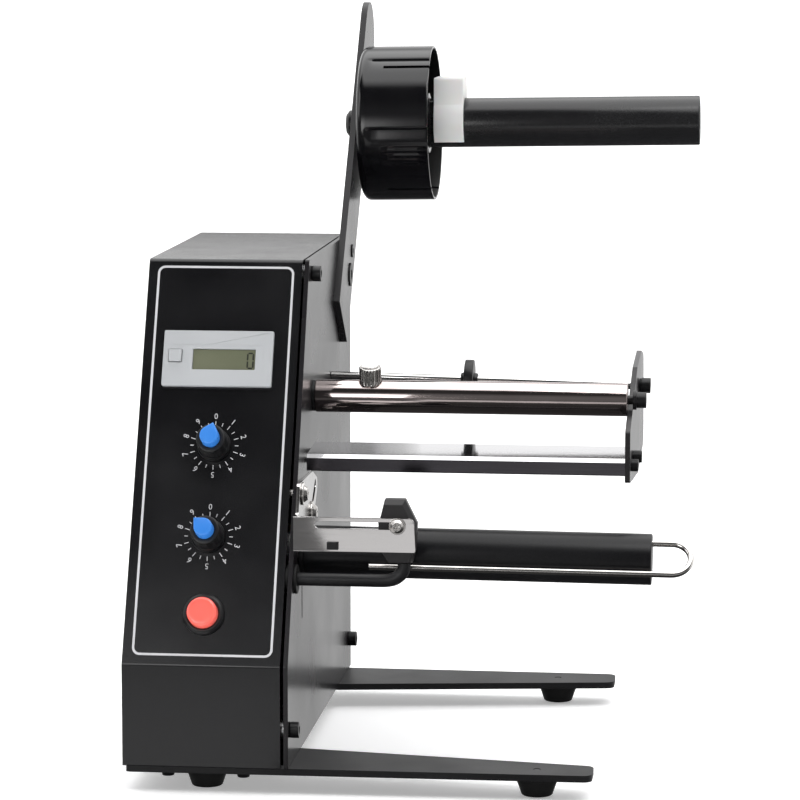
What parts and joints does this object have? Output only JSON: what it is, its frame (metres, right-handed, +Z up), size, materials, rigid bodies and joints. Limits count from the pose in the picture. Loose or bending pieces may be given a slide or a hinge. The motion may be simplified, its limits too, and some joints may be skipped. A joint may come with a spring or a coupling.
{
  "type": "label dispenser machine",
  "caption": "Bench label dispenser: sheet metal cabinet with a slanted control panel, roll arm and spindle, guide bar, peel plate, label sensor and powered rewinder.",
  "frame": {"origin": "centre of the bottom of the bounding box, on the table", "axes": "-Y towards the operator (front wall and slanted panel), +X to the right towards the free ends of the rollers, +Z up"},
  "size_m": [0.2434, 0.2924, 0.3324],
  "materials": {
    "black_paint": "fine textured semi-gloss black powder coat",
    "black_rubber": "matt",
    "black_screws": "black oxide",
    "zinc_steel": "zinc plated",
    "bright_steel": "bright polished sheet",
    "nickel": "knurled nickel plate",
    "chrome": "polished chrome plate",
    "white_plastic": "moulded, light gloss",
    "white_nylon": "moulded nylon",
    "display": "grey-green liquid crystal behind a clear window",
    "black_plastic": "moulded, satin",
    "gloss_black": "moulded, high gloss",
    "pot_metal": "stamped",
    "blue_plastic": "moulded",
    "red_plastic": "translucent moulded lens",
    "black_tube": "satin black",
    "brass": "machined",
    "gear_nylon": "natural nylon",
    "board": "solder mask",
    "supply_metal": "pressed"
  },
  "bodies": {
    "machine": {"cover_shell": "black_paint", "rear_panel": "black_paint", "base_plate": "black_paint", "side_plate": "black_paint", "front_leg": "black_paint", "rear_leg": "black_paint", "rubber_feet": "black_rubber", "leg_screws": "black_screws", "cover_screws": "black_screws", "spacer_posts": "zinc_steel", "counter_housing": "white_plastic", "counter_window": "display", "upper_pot": "pot_metal", "lower_pot": "pot_metal", "pot_nuts": "zinc_steel", "switch_housing": "black_plastic", "power_inlet": "black_plastic", "fuse_holder": "black_plastic", "power_supply": "supply_metal", "control_board": "board", "drive_bracket": "zinc_steel", "gear_motor": "supply_metal", "shaft_bearings": "zinc_steel", "roll_arm": "black_paint", "arm_screws": "black_screws", "spindle_bolt": "black_screws", "guide_bar": "chrome", "rear_rod": "chrome", "bar_screws": "black_screws", "peel_plate": "bright_steel", "end_plate": "black_paint", "sensor_bracket": "bright_steel", "bracket_screws": "zinc_steel", "bracket_stop": "black_rubber", "lead_grommet": "black_rubber"},
    "upper_knob": {"upper_knob": "black_plastic", "upper_knob_cap": "blue_plastic", "upper_pot_shaft": "zinc_steel"},
    "lower_knob": {"lower_knob": "black_plastic", "lower_knob_cap": "blue_plastic", "lower_pot_shaft": "zinc_steel"},
    "power_button": {"power_button": "red_plastic"},
    "reset_key": {"counter_reset_key": "white_plastic"},
    "rewinder": {"rewinder_shaft": "zinc_steel", "driven_gear": "gear_nylon", "rewinder_tube": "black_tube", "rewinder_plugs": "black_plastic"},
    "motor_rotor": {"motor_shaft": "zinc_steel", "motor_pinion": "brass"},
    "paper_clip": {"paper_clip_wire": "chrome"},
    "spindle": {"spindle_tube": "black_tube", "core_hub": "gloss_black", "spindle_bush": "black_plastic"},
    "roll_clip": {"roll_clip": "white_nylon"},
    "thumbscrew": {"thumbscrew": "nickel"},
    "guide_ring": {"guide_ring": "black_plastic"},
    "sensor": {"sensor_head": "black_plastic", "sensor_screw": "zinc_steel", "sensor_lead": "black_rubber", "lead_plug": "white_plastic"}
  },
  "joints": [
    {"name": "upper_knob_turn", "type": "hinge", "parent": "machine", "child": "upper_knob", "pos_m": [-0.08745, -0.10987, 0.14697], "axis": [0, -0.9094, 0.4159], "range_deg": [-298, 0]},
    {"name": "lower_knob_turn", "type": "hinge", "parent": "machine", "child": "lower_knob", "pos_m": [-0.08745, -0.12692, 0.10969], "axis": [0, -0.9094, 0.4159], "range_deg": [0, 298]},
    {"name": "power_button_press", "type": "slide", "parent": "machine", "child": "power_button", "axis": [0, 0.9094, -0.4159], "range_m": [0, 0.003], "stiffness_N_per_m": 400},
    {"name": "reset_key_press", "type": "slide", "parent": "machine", "child": "reset_key", "axis": [0, 0.9094, -0.4159], "range_m": [0, 0.0008], "stiffness_N_per_m": 300},
    {"name": "rewinder_spin", "type": "hinge", "parent": "machine", "child": "rewinder", "pos_m": [0.02825, -0.1052, 0.09875], "axis": [1, 0, -0.007], "continuous": true},
    {"name": "motor_spin", "type": "hinge", "parent": "machine", "child": "motor_rotor", "pos_m": [-0.06175, -0.0836, 0.09938], "axis": [1, 0, -0.007], "continuous": true},
    {"name": "paper_clip_pull", "type": "slide", "parent": "rewinder", "child": "paper_clip", "axis": [1, 0, -0.007], "range_m": [0, 0.09]},
    {"name": "spindle_spin", "type": "hinge", "parent": "machine", "child": "spindle", "pos_m": [0.02824, 0.0963, 0.27548], "axis": [0.9999, 0, 0.0157], "continuous": true},
    {"name": "roll_clip_slide", "type": "slide", "parent": "spindle", "child": "roll_clip", "axis": [0.9999, 0, 0.0157], "range_m": [0, 0.11]},
    {"name": "thumbscrew_turn", "type": "hinge", "parent": "machine", "child": "thumbscrew", "pos_m": [-0.02375, -0.06496, 0.17141], "axis": [0, -0.2756, 0.9613], "range_deg": [0, 360]},
    {"name": "guide_ring_slide", "type": "slide", "parent": "machine", "child": "guide_ring", "axis": [0.9998, 0, -0.0175], "range_m": [-0.057, 0.068]},
    {"name": "sensor_slide", "type": "slide", "parent": "machine", "child": "sensor", "axis": [1, 0, 0], "range_m": [-0.033, 0]}
  ],
  "couplings": [
    {"joint": "motor_spin", "follows": "rewinder_spin", "ratio": -2}
  ]
}
